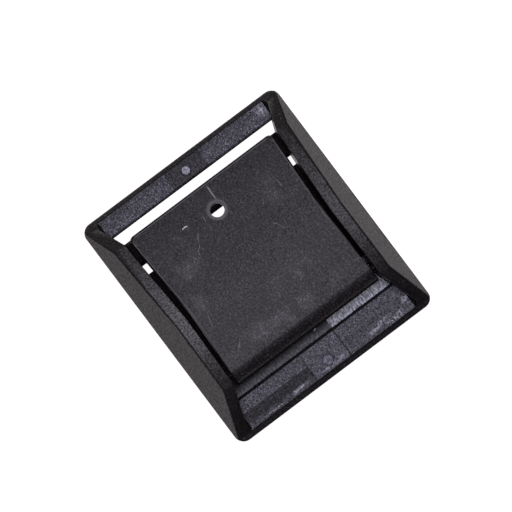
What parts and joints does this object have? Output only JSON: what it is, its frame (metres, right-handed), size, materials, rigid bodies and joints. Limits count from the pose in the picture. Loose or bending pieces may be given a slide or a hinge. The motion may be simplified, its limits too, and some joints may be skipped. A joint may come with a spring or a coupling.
{
  "type": "cam lever belt buckle",
  "caption": "Rectangular cam-lever buckle for flat webbing: a bezel with raised side rails, a riveted base plate with an anchor bar, and a toothed lever on a trapped hinge pin.",
  "frame": {"origin": "middle of the underside", "axes": "+X along the belt towards the hinge end, +Y across the belt, +Z out of the front of the buckle"},
  "size_m": [0.0584, 0.0526, 0.0104],
  "materials": {
    "cover_nylon": "black glass-filled nylon, fine spark-eroded grain",
    "base_nylon": "black glass-filled nylon, coarser grain, rubbed shiny by the webbing",
    "lever_nylon": "black glass-filled nylon, matt",
    "pin_steel": "drawn steel",
    "rivet_steel": "grey blackened steel, rubbed bright"
  },
  "bodies": {
    "root": {"cover_frame": "cover_nylon", "base_plate": "base_nylon", "hinge_pin": "pin_steel", "rivet_free_end": "rivet_steel", "rivet_hinge_end": "rivet_steel"},
    "lever": {"lever": "lever_nylon"}
  },
  "joints": [
    {"name": "lever_hinge", "type": "hinge", "parent": "root", "child": "lever", "pos_m": [0.0155, 0, 0.00715], "axis": [0, 1, 0], "range_deg": [0, 110]}
  ]
}
